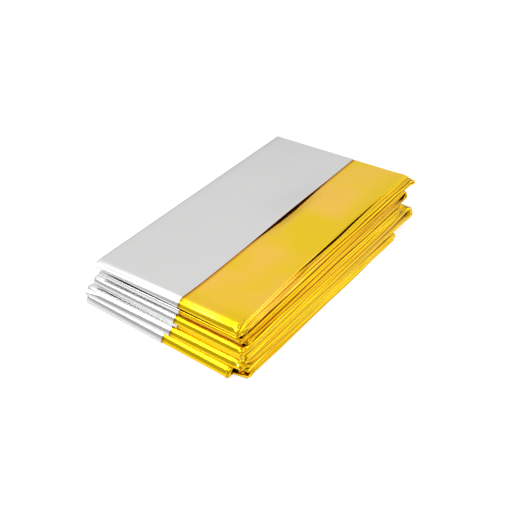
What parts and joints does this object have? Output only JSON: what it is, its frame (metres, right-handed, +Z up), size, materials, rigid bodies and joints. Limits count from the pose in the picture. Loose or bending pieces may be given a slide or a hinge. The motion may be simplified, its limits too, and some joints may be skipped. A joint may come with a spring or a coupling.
{
  "type": "folded emergency foil blanket",
  "caption": "Folded emergency foil blanket: silver and gold film folded to a strip and laid back and forth in fourteen panels, a flat pocket-size stack that rests on its bottom panel.",
  "frame": {"origin": "middle of the footprint, on the floor that the folded stack lies on", "axes": "+Y runs the long way of the stack, from the end where the film's lapped edge shows round the bends to the end with the free edges; +Z is up through the layers"},
  "size_m": [0.0882, 0.154, 0.0293],
  "materials": {
    "film": "bright metallised film, gold on one side and silver on the other"
  },
  "bodies": {
    "root": {"foil_blanket": "film"}
  },
  "joints": []
}
